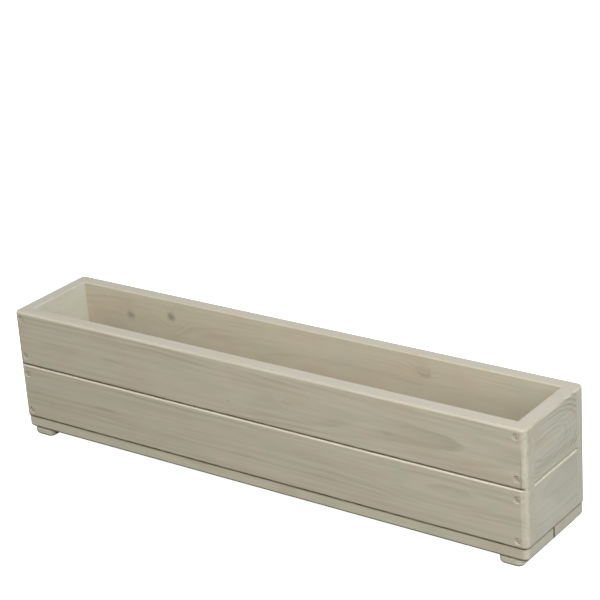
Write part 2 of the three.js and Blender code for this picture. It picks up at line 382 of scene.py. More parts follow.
def fibre_group():
    """Long fine fibres along the grain, broader streaks beside them and cloudy patches."""
    tree, graph, given, result = new_group(
        "Wood fibre",
        "ShaderNodeTree",
        [("Vector", VECTOR, None), ("Seed", FLOAT, 0.0)],
        [("Fibre", FLOAT), ("Streak", FLOAT), ("Patch", FLOAT), ("Hue", FLOAT)],
    )
    # Stretch along and across the grain, detail and roughness of the noise behind each output
    noises = {
        "Fibre": (18.0, 900.0, 3.0, 0.6),
        "Streak": (3.0, 190.0, 3.0, 0.55),
        "Patch": (9.0, 40.0, 3.0, 0.55),
        "Hue": (13.0, 23.0, 1.0, 0.5),
    }
    for output, (along, across, detail, roughness) in noises.items():
        vector = graph.shifted(given["Vector"], (along, across, across), given["Seed"])
        graph.feed(result.inputs[output], graph.noise(vector, 1.0, detail, roughness))
    return tree


def knot_group():
    """One knot or mark: its dark heart, and how far it pushes the rings aside."""
    tree, graph, given, result = new_group(
        "Knot",
        "ShaderNodeTree",
        [
            ("Vector", VECTOR, None),
            ("Place", VECTOR, None),
            ("Half Length", FLOAT, 0.008),
            ("Half Height", FLOAT, 0.007),
            ("Heart", FLOAT, 1.0),
        ],
        [("Dark", FLOAT), ("Push", FLOAT)],
    )
    offset = graph.vector_math("SUBTRACT", given["Vector"], given["Place"])
    offset = graph.parts(offset)
    along = graph.math("DIVIDE", offset["X"], given["Half Length"])
    across = graph.math("DIVIDE", offset["Z"], given["Half Height"])
    flat = graph.vector(along, 0.0, across)
    ragged = graph.noise(graph.vector_math("ADD", flat, given["Place"]), 1.3, detail=3.0)
    distance = graph.vector_math("LENGTH", flat, output=1)
    squared = graph.math("MULTIPLY", distance, distance)
    distance = graph.math("ADD", distance, graph.math("MULTIPLY_ADD", ragged, 1.4, -0.7))
    heart = graph.math("MULTIPLY", graph.ramp(distance, 0.1, 1.1, 1.0, 0.0), given["Heart"])
    inner = graph.ramp(distance, 0.35, 0.8)
    outer = graph.ramp(distance, 0.8, 1.35, 1.0, 0.0)
    rim = graph.math("MULTIPLY", inner, outer)
    rim = graph.math("MULTIPLY", rim, graph.math("SUBTRACT", 1.0, given["Heart"]))
    low_side = graph.ramp(across, -0.9, 0.7, 1.0, 0.25)
    rim = graph.math("MULTIPLY", rim, low_side)
    grainy = graph.ramp(graph.noise(flat, 5.0, detail=2.0), 0.25, 0.7, 0.55, 1.0)
    dark = graph.math("MULTIPLY", graph.math("MAXIMUM", heart, rim), grainy)
    straightening = -0.22  # how soon the rings run straight again beside the knot
    near = graph.math("EXPONENT", graph.math("MULTIPLY", squared, straightening))
    graph.feed(result.inputs["Dark"], dark)
    graph.feed(result.inputs["Push"], graph.math("MULTIPLY", near, given["Half Height"]))
    return tree


def edge_group():
    """Masks along a board's long edges: painted highlight along the upper edge, painted shade along
    the lower edge and at the seam. Vector is centred on the board.
    """
    tree, graph, given, result = new_group(
        "Board edges",
        "ShaderNodeTree",
        [
            ("Vector", VECTOR, None),
            ("Upward", FLOAT, 0.0),
            ("Half Height", FLOAT, 0.045),
            ("Half Width", FLOAT, 0.045),
            ("Seam Side", FLOAT, 0.0),
            ("Seam Width", FLOAT, SEAM_WIDTH),
            ("Build-up Width", FLOAT, PAINTED_HIGHLIGHT_WIDTH),
            ("Grime Width", FLOAT, PAINTED_SHADE_WIDTH),
            ("Seed", FLOAT, 0.0),
        ],
        [("Build-up", FLOAT), ("Grime", FLOAT), ("Seam", FLOAT)],
    )
    place = graph.parts(given["Vector"])
    height = place["Z"]
    below_top = graph.math("SUBTRACT", given["Half Height"], height)
    above_base = graph.math("ADD", given["Half Height"], height)
    uneven = graph.shifted(given["Vector"], (60.0, 240.0, 240.0), given["Seed"])
    uneven = graph.ramp(graph.noise(uneven, 1.0, detail=3.0), 0.3, 0.7, 0.7, 1.0)
    off_flats = graph.ramp(graph.math("ABSOLUTE", given["Upward"]), 0.93, 0.99, 1.0, 0.0)
    amount = graph.math("MULTIPLY", uneven, off_flats)
    # Painted highlight along the upper edge, where light falls on the round
    upper = graph.ramp(graph.math("DIVIDE", below_top, given["Build-up Width"]), 0.0, 1.0, 1.0, 0.0)
    # Painted shade along the lower edge, on the round that faces down
    lower = graph.ramp(graph.math("DIVIDE", above_base, given["Grime Width"]), 0.55, 1.0, 1.0, 0.0)
    graph.feed(result.inputs["Build-up"], graph.math("MULTIPLY", upper, amount))
    graph.feed(result.inputs["Grime"], graph.math("MULTIPLY", lower, amount))
    # Painted shade of the gap between the two bottom boards, which are built touching
    toward_seam = graph.math("MULTIPLY", place["Y"], given["Seam Side"])
    from_seam = graph.math("SUBTRACT", given["Half Width"], toward_seam)
    seam = graph.ramp(graph.math("DIVIDE", from_seam, given["Seam Width"]), 0.5, 1.0, 1.0, 0.0)
    has_seam = graph.math("ABSOLUTE", given["Seam Side"])
    graph.feed(result.inputs["Seam"], graph.math("MULTIPLY", seam, has_seam))
    return tree


# --- Materials ---------------------------------------------------------------------------------


class Knot(NamedTuple):
    """A knot or mark of one board, placed along and across it from its middle."""

    along: float
    across: float
    half_length: float
    half_height: float
    strength: float
    heart: float = 1.0  # 1 is dark through, 0 only a dark rim


class Figure(NamedTuple):
    """How one board was sawn from its log; see growth_rings_group."""

    pith: tuple
    bow: float = 0.1
    reach: float = 1.0
    ring_width: float = 0.0042
    wander: float = 0.012
    seed: float = 1.0
    contrast: float = 1.0
    knots: tuple = ()


FIGURES = {
    "front_board_upper": Figure(
        (-0.36, 0.020, -0.004), bow=0.07, ring_width=0.0055, seed=3.1, contrast=1.5,
        knots=(
            Knot(-0.040, -0.0197, 0.0035, 0.0022, 0.8),
            Knot(-0.259, -0.0018, 0.034, 0.0030, 0.5),
            Knot(0.064, 0.0, 0.014, 0.0028, 0.35),
            Knot(0.236, -0.008, 0.022, 0.0042, 0.35),
        ),
    ),
    "front_board_lower": Figure(
        (0.32, 0.012, 0.016), bow=0.9, reach=0.12, ring_width=0.0052, seed=8.4, contrast=1.5,
        knots=(Knot(-0.281, 0.002, 0.036, 0.0034, 0.5),),
    ),
    "back_board_upper": Figure(
        (0.16, -0.045, -0.012), bow=0.12, ring_width=0.0045, seed=5.7,
        knots=(
            Knot(-0.339, 0.005, 0.010, 0.0095, 1.1),
            Knot(-0.256, 0.0165, 0.010, 0.0105, 1.2),
            Knot(0.208, 0.021, 0.012, 0.008, 0.9, heart=0.25),
            Knot(0.188, -0.004, 0.020, 0.010, 0.16, heart=0.3),
        ),
    ),
    "back_board_lower": Figure((-0.05, -0.060, 0.004), seed=12.9),
    "left_end_board_upper": Figure((0.02, -0.050, 0.0), bow=0.5, seed=15.2, contrast=0.5),
    "left_end_board_lower": Figure((-0.03, -0.060, 0.012), bow=0.4, seed=18.6, contrast=0.5),
    "right_end_board_upper": Figure(
        (-0.012, 0.001, -0.003), bow=5.0, ring_width=0.0058, wander=0.014, seed=21.3, contrast=2.0
    ),
    "right_end_board_lower": Figure((0.03, 0.070, 0.02), bow=0.4, ring_width=0.005, seed=24.8),
    "bottom_board_front": Figure((0.2, -0.030, -0.060), seed=27.5),
    "bottom_board_back": Figure((-0.1, 0.020, -0.065), seed=30.1),
    "foot_batten_left": Figure((0.0, 0.030, -0.040), bow=0.3, seed=33.7),
    "foot_batten_right": Figure((0.02, -0.030, -0.045), bow=0.3, seed=36.2),
}

PAINTED_HIGHLIGHT_WIDTH = 0.0030  # of the painted highlight along a board's upper edge
PAINTED_SHADE_WIDTH = 0.0048  # of the painted shade along its lower edge, on the round that turns down from the light
SEAM_WIDTH = 0.0013  # of the painted shade of the gap where the bottom boards meet
SEAM_SHADE = 0.85

# How much of the bare wood shows through the wash
LATEWOOD_SHOWS = 0.20
STREAK_SHOWS = 0.12
FIBRE_SHOWS = 0.06
PATCH_SHOWS = 0.06
KNOT_SHOWS = 0.55

# Strongest tint of a patch
COOL_TINT = 0.4
WARM_TINT = 0.45

WASH_IOR = 1.46
WASH_ROUGHNESS = 0.52
FIBRE_ROUGHNESS = 0.10  # added along the fibres
LATEWOOD_ROUGHNESS = -0.06

# Relief of the wood, in metres
FIBRE_RELIEF = -0.00003
STREAK_RELIEF = -0.00003
LATEWOOD_RELIEF = 0.00005
RELIEF_STRENGTH = 0.6


class EdgePaintedLight(NamedTuple):
    """How strongly a board's edges get painted highlight and painted shade, from 0 to 1."""

    painted_highlight: float
    painted_shade: float
    end_painted_shade: float  # on the end grain
    seam_side: float = 0.0  # 1 or -1, the side where it meets its neighbour
    rim: float = 0.0  # how far the even, darker tone covers the faces that look up: a coat that hides the grain, and painted shade against the light from above


EDGES = {
    "upper_long": EdgePaintedLight(0.0, 0.95, 0.0, rim=0.8),
    "lower_long": EdgePaintedLight(1.0, 0.95, 0.5),
    "upper_end": EdgePaintedLight(0.0, 0.25, 0.0, rim=0.8),
    "lower_end": EdgePaintedLight(1.0, 0.5, 0.5),
    "bottom_front": EdgePaintedLight(0.0, 0.8, 0.8, seam_side=1.0),
    "bottom_back": EdgePaintedLight(0.0, 0.8, 0.8, seam_side=-1.0),
    "foot": EdgePaintedLight(0.0, 0.5, 0.5),
}


def board_vectors(graph, box, turn):
    """The board's own coordinates and normals, turned so that the grain runs along X."""
    low, high = box
    middle = Matrix.Rotation(turn, 4, "Z") @ ((low + high) / 2)
    coordinates = graph.node("ShaderNodeTexCoord").outputs
    turned = {"Vector": coordinates["Object"], "Rotation": (0.0, 0.0, turn), "Location": -middle}
    mapping = graph.node("ShaderNodeMapping", turned, vector_type="POINT")
    turned = {"Vector": coordinates["Normal"], "Rotation": (0.0, 0.0, turn)}
    facing = graph.node("ShaderNodeMapping", turned, vector_type="NORMAL")
    return mapping.outputs[0], graph.parts(facing.outputs[0])


def new_material(name):
    """A material with its graph and its Principled shader."""
    material = bpy.data.materials.new(name)
    material.use_nodes = True
    return material, Graph(material.node_tree), material.node_tree.nodes["Principled BSDF"]


def washed_wood(name, box, turn, figure, edge_painted_light, wash, finish):
    """Whitewashed softwood for one board, with painted highlight and painted shade along its edges
    and a darker tone painted on the faces that look up.
    """
    material, graph, shader = new_material(name)
    vector, facing = board_vectors(graph, box, turn)
    end_grain = graph.ramp(graph.math("ABSOLUTE", facing["X"]), 0.55, 0.9)

    push = 0.0
    knot_tone = 0.0
    for knot in figure.knots:
        inputs = {
            "Vector": vector,
            "Place": (knot.along, 0.0, knot.across),
            "Half Length": knot.half_length,
            "Half Height": knot.half_height,
            "Heart": knot.heart,
        }
        mark = graph.group("Knot", knot_group, inputs)
        knot_tone = graph.math("MULTIPLY_ADD", mark["Dark"], knot.strength, knot_tone)
        push = graph.math("MULTIPLY_ADD", mark["Push"], knot.strength, push)

    ring_inputs = {
        "Vector": vector,
        "Pith": figure.pith,
        "Bow": figure.bow,
        "Reach": figure.reach,
        "Ring Width": figure.ring_width,
        "Wander": figure.wander,
        "Push": push,
        "Seed": figure.seed,
    }
    rings = graph.group("Growth rings", growth_rings_group, ring_inputs)
    fibre = graph.group("Wood fibre", fibre_group, {"Vector": vector, "Seed": figure.seed})
    edge_inputs = {
        "Vector": vector,
        "Upward": facing["Z"],
        "Half Height": (box[1].z - box[0].z) / 2,
        "Half Width": (box[1].y - box[0].y) / 2,
        "Seam Side": edge_painted_light.seam_side,
        "Seed": figure.seed,
    }
    edges = graph.group("Board edges", edge_group, edge_inputs)

    cool = graph.ramp(fibre["Hue"], 0.52, 0.70, 0.0, COOL_TINT)
    warm = graph.ramp(fibre["Hue"], 0.30, 0.48, WARM_TINT, 0.0)
    tinted = graph.mix(cool, opaque(wash), opaque(finish.cool_patch))
    tinted = graph.mix(warm, tinted, opaque(finish.warm_patch))
    washed = graph.mix(end_grain, tinted, opaque(finish.end_grain))

    through = graph.math("MULTIPLY", rings["Latewood"], LATEWOOD_SHOWS * figure.contrast)
    streak = graph.ramp(fibre["Streak"], 0.35, 0.75)
    through = graph.math("MULTIPLY_ADD", streak, STREAK_SHOWS * figure.contrast, through)
    fine = graph.ramp(fibre["Fibre"], 0.35, 0.75)
    through = graph.math("MULTIPLY_ADD", fine, FIBRE_SHOWS, through)
    patch = graph.ramp(fibre["Patch"], 0.3, 0.7)
    through = graph.math("MULTIPLY_ADD", patch, PATCH_SHOWS, through, clamp=True)

    coloured = graph.mix(through, washed, opaque(finish.wood))
    # Faces that look up: an even coat that hides the grain, darker as painted shade
    rim = graph.ramp(facing["Z"], 0.75, 0.98, 0.0, edge_painted_light.rim)
    coloured = graph.mix(rim, coloured, opaque(finish.rim_wash_and_shade))
    knot_share = graph.math("MULTIPLY", knot_tone, KNOT_SHOWS, clamp=True)
    coloured = graph.mix(knot_share, coloured, opaque(finish.knot))
    # Painted highlight along the upper edge, none on the end grain
    painted_highlight_share = graph.ramp(end_grain, 0.0, 1.0, edge_painted_light.painted_highlight, 0.0)
    painted_highlight = graph.math("MULTIPLY", edges["Build-up"], painted_highlight_share)
    coloured = graph.mix(painted_highlight, coloured, opaque(finish.edge))
    # Painted shade along the lower edges and at the seam between the bottom boards
    painted_shade_share = graph.ramp(end_grain, 0.0, 1.0, edge_painted_light.painted_shade, edge_painted_light.end_painted_shade)
    painted_shade = graph.math("MULTIPLY", edges["Grime"], painted_shade_share)
    painted_shade = graph.math("MAXIMUM", painted_shade, graph.math("MULTIPLY", edges["Seam"], SEAM_SHADE))
    coloured = graph.mix(painted_shade, coloured, opaque(finish.painted_shade))
    graph.feed(shader.inputs["Base Color"], coloured)

    roughness = graph.math("MULTIPLY_ADD", fine, FIBRE_ROUGHNESS, WASH_ROUGHNESS)
    roughness = graph.math("MULTIPLY_ADD", rings["Latewood"], LATEWOOD_ROUGHNESS, roughness)
    graph.feed(shader.inputs["Roughness"], roughness)

    height = graph.math("MULTIPLY", fine, FIBRE_RELIEF)
    height = graph.math("MULTIPLY_ADD", rings["Latewood"], LATEWOOD_RELIEF, height)
    height = graph.math("MULTIPLY_ADD", streak, STREAK_RELIEF, height)
    relief = {"Height": height, "Distance": 1.0, "Strength": RELIEF_STRENGTH}
    bump = graph.node("ShaderNodeBump", relief)
    graph.feed(shader.inputs["Normal"], bump.outputs[0])
    shader.inputs["IOR"].default_value = WASH_IOR
    return material


def painted_steel(finish):
    """Screw steel under the same wash, bare where the wash has chipped."""
    material, graph, shader = new_material("washed_screw_steel")
    vector = graph.node("ShaderNodeTexCoord").outputs["Object"]
    chips = graph.ramp(graph.noise(vector, 900.0, detail=4.0, roughness=0.6), 0.62, 0.7)
    cloud = graph.noise(vector, 240.0, detail=3.0)
    stain = graph.ramp(cloud, 0.3, 0.7, 0.0, 0.2)
    paint = graph.mix(stain, opaque(finish.wash), opaque(finish.wood))
    graph.feed(shader.inputs["Base Color"], graph.mix(chips, paint, opaque(finish.steel)))
    graph.feed(shader.inputs["Metallic"], graph.math("MULTIPLY", chips, 0.9))
    graph.feed(shader.inputs["Roughness"], graph.math("MULTIPLY_ADD", cloud, 0.2, 0.35))
    bump = graph.node("ShaderNodeBump", {"Height": cloud, "Distance": 0.0001, "Strength": 0.5})
    graph.feed(shader.inputs["Normal"], bump.outputs[0])
    return material


# --- Mesh tools --------------------------------------------------------------------------------


def temporary(name, mesh_data):
    """An object that is only cut with, and is removed after."""
    obj = bpy.data.objects.new(name, mesh_data)
    bpy.context.scene.collection.objects.link(obj)
    return obj


def remove(objects):
    for obj in objects:
        mesh_data = obj.data
        bpy.data.objects.remove(obj)
        if mesh_data.users == 0:
            bpy.data.meshes.remove(mesh_data)


def mesh_from(name, build):
    """A mesh that build fills through bmesh, closed and facing outwards."""
    shape = bmesh.new()
    build(shape)
    bmesh.ops.recalc_face_normals(shape, faces=shape.faces)
    mesh_data = bpy.data.meshes.new(name)
    shape.to_mesh(mesh_data)
    shape.free()
    return mesh_data


def rounded_outline(left, right, low, high, rounds=(0.0, 0.0, 0.0, 0.0), steps=ARRIS_STEPS):
    """Points of a rectangle; rounds are the radii from the lower left corner anticlockwise."""
    corners = ((left, low, 1, 1), (right, low, -1, 1), (right, high, -1, -1), (left, high, 1, -1))
    points = []
    for turn, ((x, y, inward_x, inward_y), radius) in enumerate(zip(corners, rounds)):
        if radius == 0:
            points.append((x, y))
            continue
        for step in range(steps + 1):
            angle = math.pi + (turn + step / steps) * math.pi / 2
            points.append(
                (
                    x + radius * (inward_x + math.cos(angle)),
                    y + radius * (inward_y + math.sin(angle)),
                )
            )
    return points


def loft(shape, rings):
    """Closed skin through rings of equally many points, with flat ends."""
    made = [[shape.verts.new(point) for point in ring] for ring in rings]
    for first, second in zip(made, made[1:]):
        for i in range(len(first)):
            j = (i + 1) % len(first)
            shape.faces.new((first[i], first[j], second[j], second[i]))
    shape.faces.new(made[0])
    shape.faces.new(made[-1])


def prism(name, outline, start, end, along_x):
    """Outline in (across, up), drawn out along X or along Y."""

    def at(place):
        if along_x:
            return [(place, across, up) for across, up in outline]
        return [(across, place, up) for across, up in outline]

    return mesh_from(name, lambda shape: loft(shape, [at(start), at(end)]))


def rounded_block(name, low, high, upright, lower_round=0.0, upper_round=0.0):
    """Block with round upright corners and, where asked, round lower and upper edges."""
    quarter = [step / ROUND_STEPS * math.pi / 2 for step in range(ROUND_STEPS + 1)]
    levels = []
    if lower_round:
        for angle in quarter:
            inset = lower_round * (1 - math.sin(angle))
            levels.append((inset, low.z + lower_round * (1 - math.cos(angle))))
    else:
        levels.append((0.0, low.z))
    if upper_round:
        for angle in quarter:
            inset = upper_round * (1 - math.cos(angle))
            levels.append((inset, high.z - upper_round * (1 - math.sin(angle))))
    else:
        levels.append((0.0, high.z))
    rings = []
    for inset, height in levels:
        corner = upright - inset
        outline = rounded_outline(
            low.x + inset, high.x - inset, low.y + inset, high.y - inset, [corner] * 4, ROUND_STEPS
        )
        rings.append([(x, y, height) for x, y in outline])
    return mesh_from(name, lambda shape: loft(shape, rings))


def add_turned(shape, profile, place, direction):
    """Adds a solid of revolution: (radius, distance) pairs from place along direction."""
    toward = direction.to_track_quat("Z", "Y").to_matrix()
    rings = []
    for radius, distance in profile:
        ring = []
        for side in range(HOLE_SIDES):
            angle = 2 * math.pi * side / HOLE_SIDES
            local = Vector((radius * math.cos(angle), radius * math.sin(angle), distance))
            ring.append(place + toward @ local)
        rings.append(ring)
    loft(shape, rings)


def evaluated_mesh(obj):
    """A plain mesh of what obj's modifiers make."""
    bpy.context.view_layer.update()
    depsgraph = bpy.context.evaluated_depsgraph_get()
    return bpy.data.meshes.new_from_object(obj.evaluated_get(depsgraph))


def cut(blank, steps):
    """The mesh of blank after (operation, mesh) steps, welded and without loose edges."""
    obj = temporary("blank", blank)
    tools = []
    for operation, tool_mesh in steps:
        tool = temporary("tool", tool_mesh)
        tools.append(tool)
        boolean = obj.modifiers.new(operation, "BOOLEAN")
        boolean.operation = operation
        boolean.solver = "EXACT"
        boolean.object = tool
    result = evaluated_mesh(obj)
    remove([obj, *tools])
    shape = bmesh.new()
    shape.from_mesh(result)
    bmesh.ops.remove_doubles(shape, verts=shape.verts, dist=WELD)
    bmesh.ops.dissolve_degenerate(shape, edges=shape.edges, dist=WELD)
    loose = [edge for edge in shape.edges if not edge.link_faces]
    bmesh.ops.delete(shape, geom=loose, context="EDGES")
    shape.to_mesh(result)
    shape.free()
    return result


def finished_piece(name, mesh_data, material, replaced):
    """Shades and dresses a piece, and lets it stand for its CAD nodes."""
    obj = bpy.data.objects.new(name, mesh_data)
    bpy.context.scene.collection.objects.link(obj)
    mesh_data.materials.clear()
    mesh_data.materials.append(material)
    mesh_data.polygons.foreach_set("material_index", [0] * len(mesh_data.polygons))
    mesh_data.shade_smooth()
    mesh_data.set_sharp_from_angle(angle=SMOOTH_ANGLE)
    weighted = obj.modifiers.new("Flat faces stay flat", "WEIGHTED_NORMAL")
    weighted.keep_sharp = True
    weighted.weight = 100
    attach(obj, BODY)
    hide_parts(*replaced)


def dressed_board(name, box, mesh_data, turn, edges, wash, finish):
    """Whitewashes one board, which stands for the CAD node of that name."""
    material = washed_wood("washed_" + name, box, turn, FIGURES[name], edges, wash, finish)
    finished_piece("washed_" + name, mesh_data, material, [name])


# --- Sizes read from the frame -----------------------------------------------------------------


def all_screws():
    """Name, head centre, direction and length of every screw, read from the frame."""
    screws = []
    for name in sorted(node for node in FRAME["nodes"] if "_screw_" in node):
        low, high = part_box(name)
        middle = (low + high) / 2
        size = high - low
        if size.z > size.y:
            head, direction = Vector((middle.x, middle.y, low.z)), Vector((0, 0, 1))
        elif name.startswith("front"):
            head, direction = Vector((middle.x, low.y, middle.z)), Vector((0, 1, 0))
        else:
            head, direction = Vector((middle.x, high.y, middle.z)), Vector((0, -1, 0))
        screws.append((name, head, direction, max(size)))
    return screws


def carcass_box():
    boxes = [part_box(name) for name in LONG_BOARDS]
    low = Vector([min(box[0][axis] for box in boxes) for axis in range(3)])
    high = Vector([max(box[1][axis] for box in boxes) for axis in range(3)])
    return low, high


def head_sink():
    """How deep the screw heads lie below the face of the front wall."""
    head_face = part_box("front_left_screw_1")[0].y
    return head_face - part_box("front_board_lower")[0].y


def screw_hole_mesh(sizes):
    """Every countersink and drilled hole in one mesh."""
    head_seat = sizes.head / 2 + sizes.clearance * math.sqrt(2)
    hole = sizes.shank / 2 + sizes.clearance
    sink = head_sink()
    mouth = head_seat + sink
    lip = sizes.lip
    cone_end = sizes.land + head_seat - hole

    def build(shape):
        for name, head, direction, long in all_screws():
            profile = [(mouth + lip + PAST_FACE / 4, -sink - PAST_FACE), (mouth + lip, -sink)]
            for step in range(1, ARRIS_STEPS + 1):
                angle = step / ARRIS_STEPS * math.pi / 4
                inwards = lip * (1 - math.sin(angle) * math.sqrt(2))
                profile.append((mouth + inwards, -sink + lip * (1 - math.cos(angle))))
            profile += [
                (head_seat, 0.0),
                (head_seat, sizes.land),
                (hole, cone_end),
                (hole, long + sizes.beyond_tip),
            ]
            add_turned(shape, profile, head, direction)

    return mesh_from("screw_holes", build)


# --- Builders ----------------------------------------------------------------------------------


def wall_outline(outer, inner, low, high, rounds, upper):
    """Section of a wall board, with the outer face at outer and the inner at inner."""
    outer_low = rounds.joint if upper else rounds.base
    outer_high = 0.0 if upper else rounds.joint
    inner_high = 0.0 if upper else rounds.arris
    if outer < inner:
        radii = (outer_low, rounds.arris, inner_high, outer_high)
        return rounded_outline(outer, inner, low, high, radii)
    radii = (rounds.arris, outer_low, outer_high, inner_high)
    return rounded_outline(inner, outer, low, high, radii)


def wall_board(name, settings, along_x):
    rounds = settings.rounds
    low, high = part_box(name)
    carcass_low, carcass_high = carcass_box()
    upper = name.endswith("upper")
    middle = (carcass_low + carcass_high) / 2
    axis = 1 if along_x else 0
    if (low[axis] + high[axis]) / 2 < middle[axis]:
        outer, inner = low[axis], high[axis]
    else:
        outer, inner = high[axis], low[axis]
    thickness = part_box("front_board_upper")[1].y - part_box("front_board_upper")[0].y
    inside = Vector((thickness, thickness, 0))
    cavity_low, cavity_high = carcass_low + inside, carcass_high - inside
    outline = wall_outline(outer, inner, low.z, high.z, rounds, upper)
    # The wash fills the fine joint between an end board and the long walls
    start, end = (low.x, high.x) if along_x else (cavity_low.y, cavity_high.y)
    blank = prism(name, outline, start, end, along_x)

    envelope = rounded_block(
        "envelope", carcass_low, carcass_high, rounds.corner, rounds.base, rounds.rim
    )
    steps = [("INTERSECT", envelope)]
    if upper:
        steps.append(("DIFFERENCE", chamfer_cutter(cavity_low, cavity_high, rounds.rim_chamfer)))
    steps.append(("DIFFERENCE", screw_hole_mesh(settings.screws)))
    mesh_data = cut(blank, steps)

    finish = settings.finish
    box = (low, high)
    edges = EDGES[f"{'upper' if upper else 'lower'}_{'long' if along_x else 'end'}"]
    if along_x:
        dressed_board(name, box, mesh_data, ALONG_X, edges, finish.wash, finish)
    else:
        dressed_board(name, box, mesh_data, ALONG_Y, edges, finish.end_wash, finish)


def chamfer_cutter(cavity_low, cavity_high, chamfer):
    """What the chamfer plane takes off the inner edge of the rim."""
    top = cavity_high.z
    rings = []
    for out, height in ((0.0, top - chamfer), (chamfer + PAST_FACE, top + PAST_FACE)):
        outline = rounded_outline(
            cavity_low.x - out, cavity_high.x + out, cavity_low.y - out, cavity_high.y + out
        )
        rings.append([(x, y, height) for x, y in outline])
    return mesh_from("rim_chamfer", lambda shape: loft(shape, rings))


def drain_mesh(rounds):
    """Cutters for the drain holes that the record states, with a small chamfer at both faces."""
    low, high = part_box("bottom_board_front")
    radius = rounds.drain / 2
    chamfer = rounds.drain_chamfer
    wide = radius + chamfer + PAST_FACE
    profile = [
        (wide, low.z - PAST_FACE),
        (radius, low.z + chamfer),
        (radius, high.z - chamfer),
        (wide, high.z + PAST_FACE),
    ]

    def build(shape):
        for opening in FRAME["record"]["physics"]["openings"]:
            if opening["name"].startswith("drain_hole"):
                (left, front, _), (right, back, _) = opening["box_m"]
                place = Vector(((left + right) / 2, (front + back) / 2, 0))
                add_turned(shape, profile, place, Vector((0, 0, 1)))

    return mesh_from("drain_holes", build)


def bottom_board(name, settings):
    rounds = settings.rounds
    low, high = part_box(name)
    boxes = [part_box(other) for other in BOTTOM_BOARDS]
    front_edge = min(box[0].y for box in boxes)
    back_edge = max(box[1].y for box in boxes)
    seam = rounds.bottom_seam
    if name.endswith("front"):
        radii = (0.0, seam, seam, 0.0)
        edges = EDGES["bottom_front"]
    else:
        radii = (seam, 0.0, 0.0, seam)
        edges = EDGES["bottom_back"]
    outline = rounded_outline(low.y, high.y, low.z, high.z, radii)
    blank = prism(name, outline, low.x, high.x, True)
    envelope = rounded_block(
        "envelope",
        Vector((low.x, front_edge, low.z)),
        Vector((high.x, back_edge, high.z + rounds.bottom_edge)),
        rounds.bottom_corner,
        lower_round=rounds.bottom_edge,
    )
    steps = [
        ("INTERSECT", envelope),
        ("DIFFERENCE", drain_mesh(rounds)),
        ("DIFFERENCE", screw_hole_mesh(settings.screws)),
    ]
    mesh_data = cut(blank, steps)
    finish = settings.finish
    box = (low, high)
    dressed_board(name, box, mesh_data, ALONG_X, edges, finish.bottom_wash, finish)


def foot_batten(name, settings):
    rounds = settings.rounds
    low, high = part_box(name)
    blank = rounded_block(name, low, high, rounds.foot_corner, lower_round=rounds.foot_edge)
    mesh_data = cut(blank, [("DIFFERENCE", screw_hole_mesh(settings.screws))])
    finish = settings.finish
    box = (low, high)
    edges = EDGES["foot"]
    dressed_board(name, box, mesh_data, ALONG_Y, edges, finish.bottom_wash, finish)


# Inputs of the screw tree, with the setting that each is fed from
SCREW_SIZES = {
    "Head Diameter": "head",
    "Head Land": "land",
    "Shank Diameter": "shank",
    "Point Length": "point",
    "Soft Rim": "soft_rim",
    "Recess Width": "recess_width",
    "Recess Span": "recess_span",
    "Recess Depth": "recess_depth",
}
SCREW_TIP = 0.0001  # radius at the very tip
SCREW_SIDES = 32


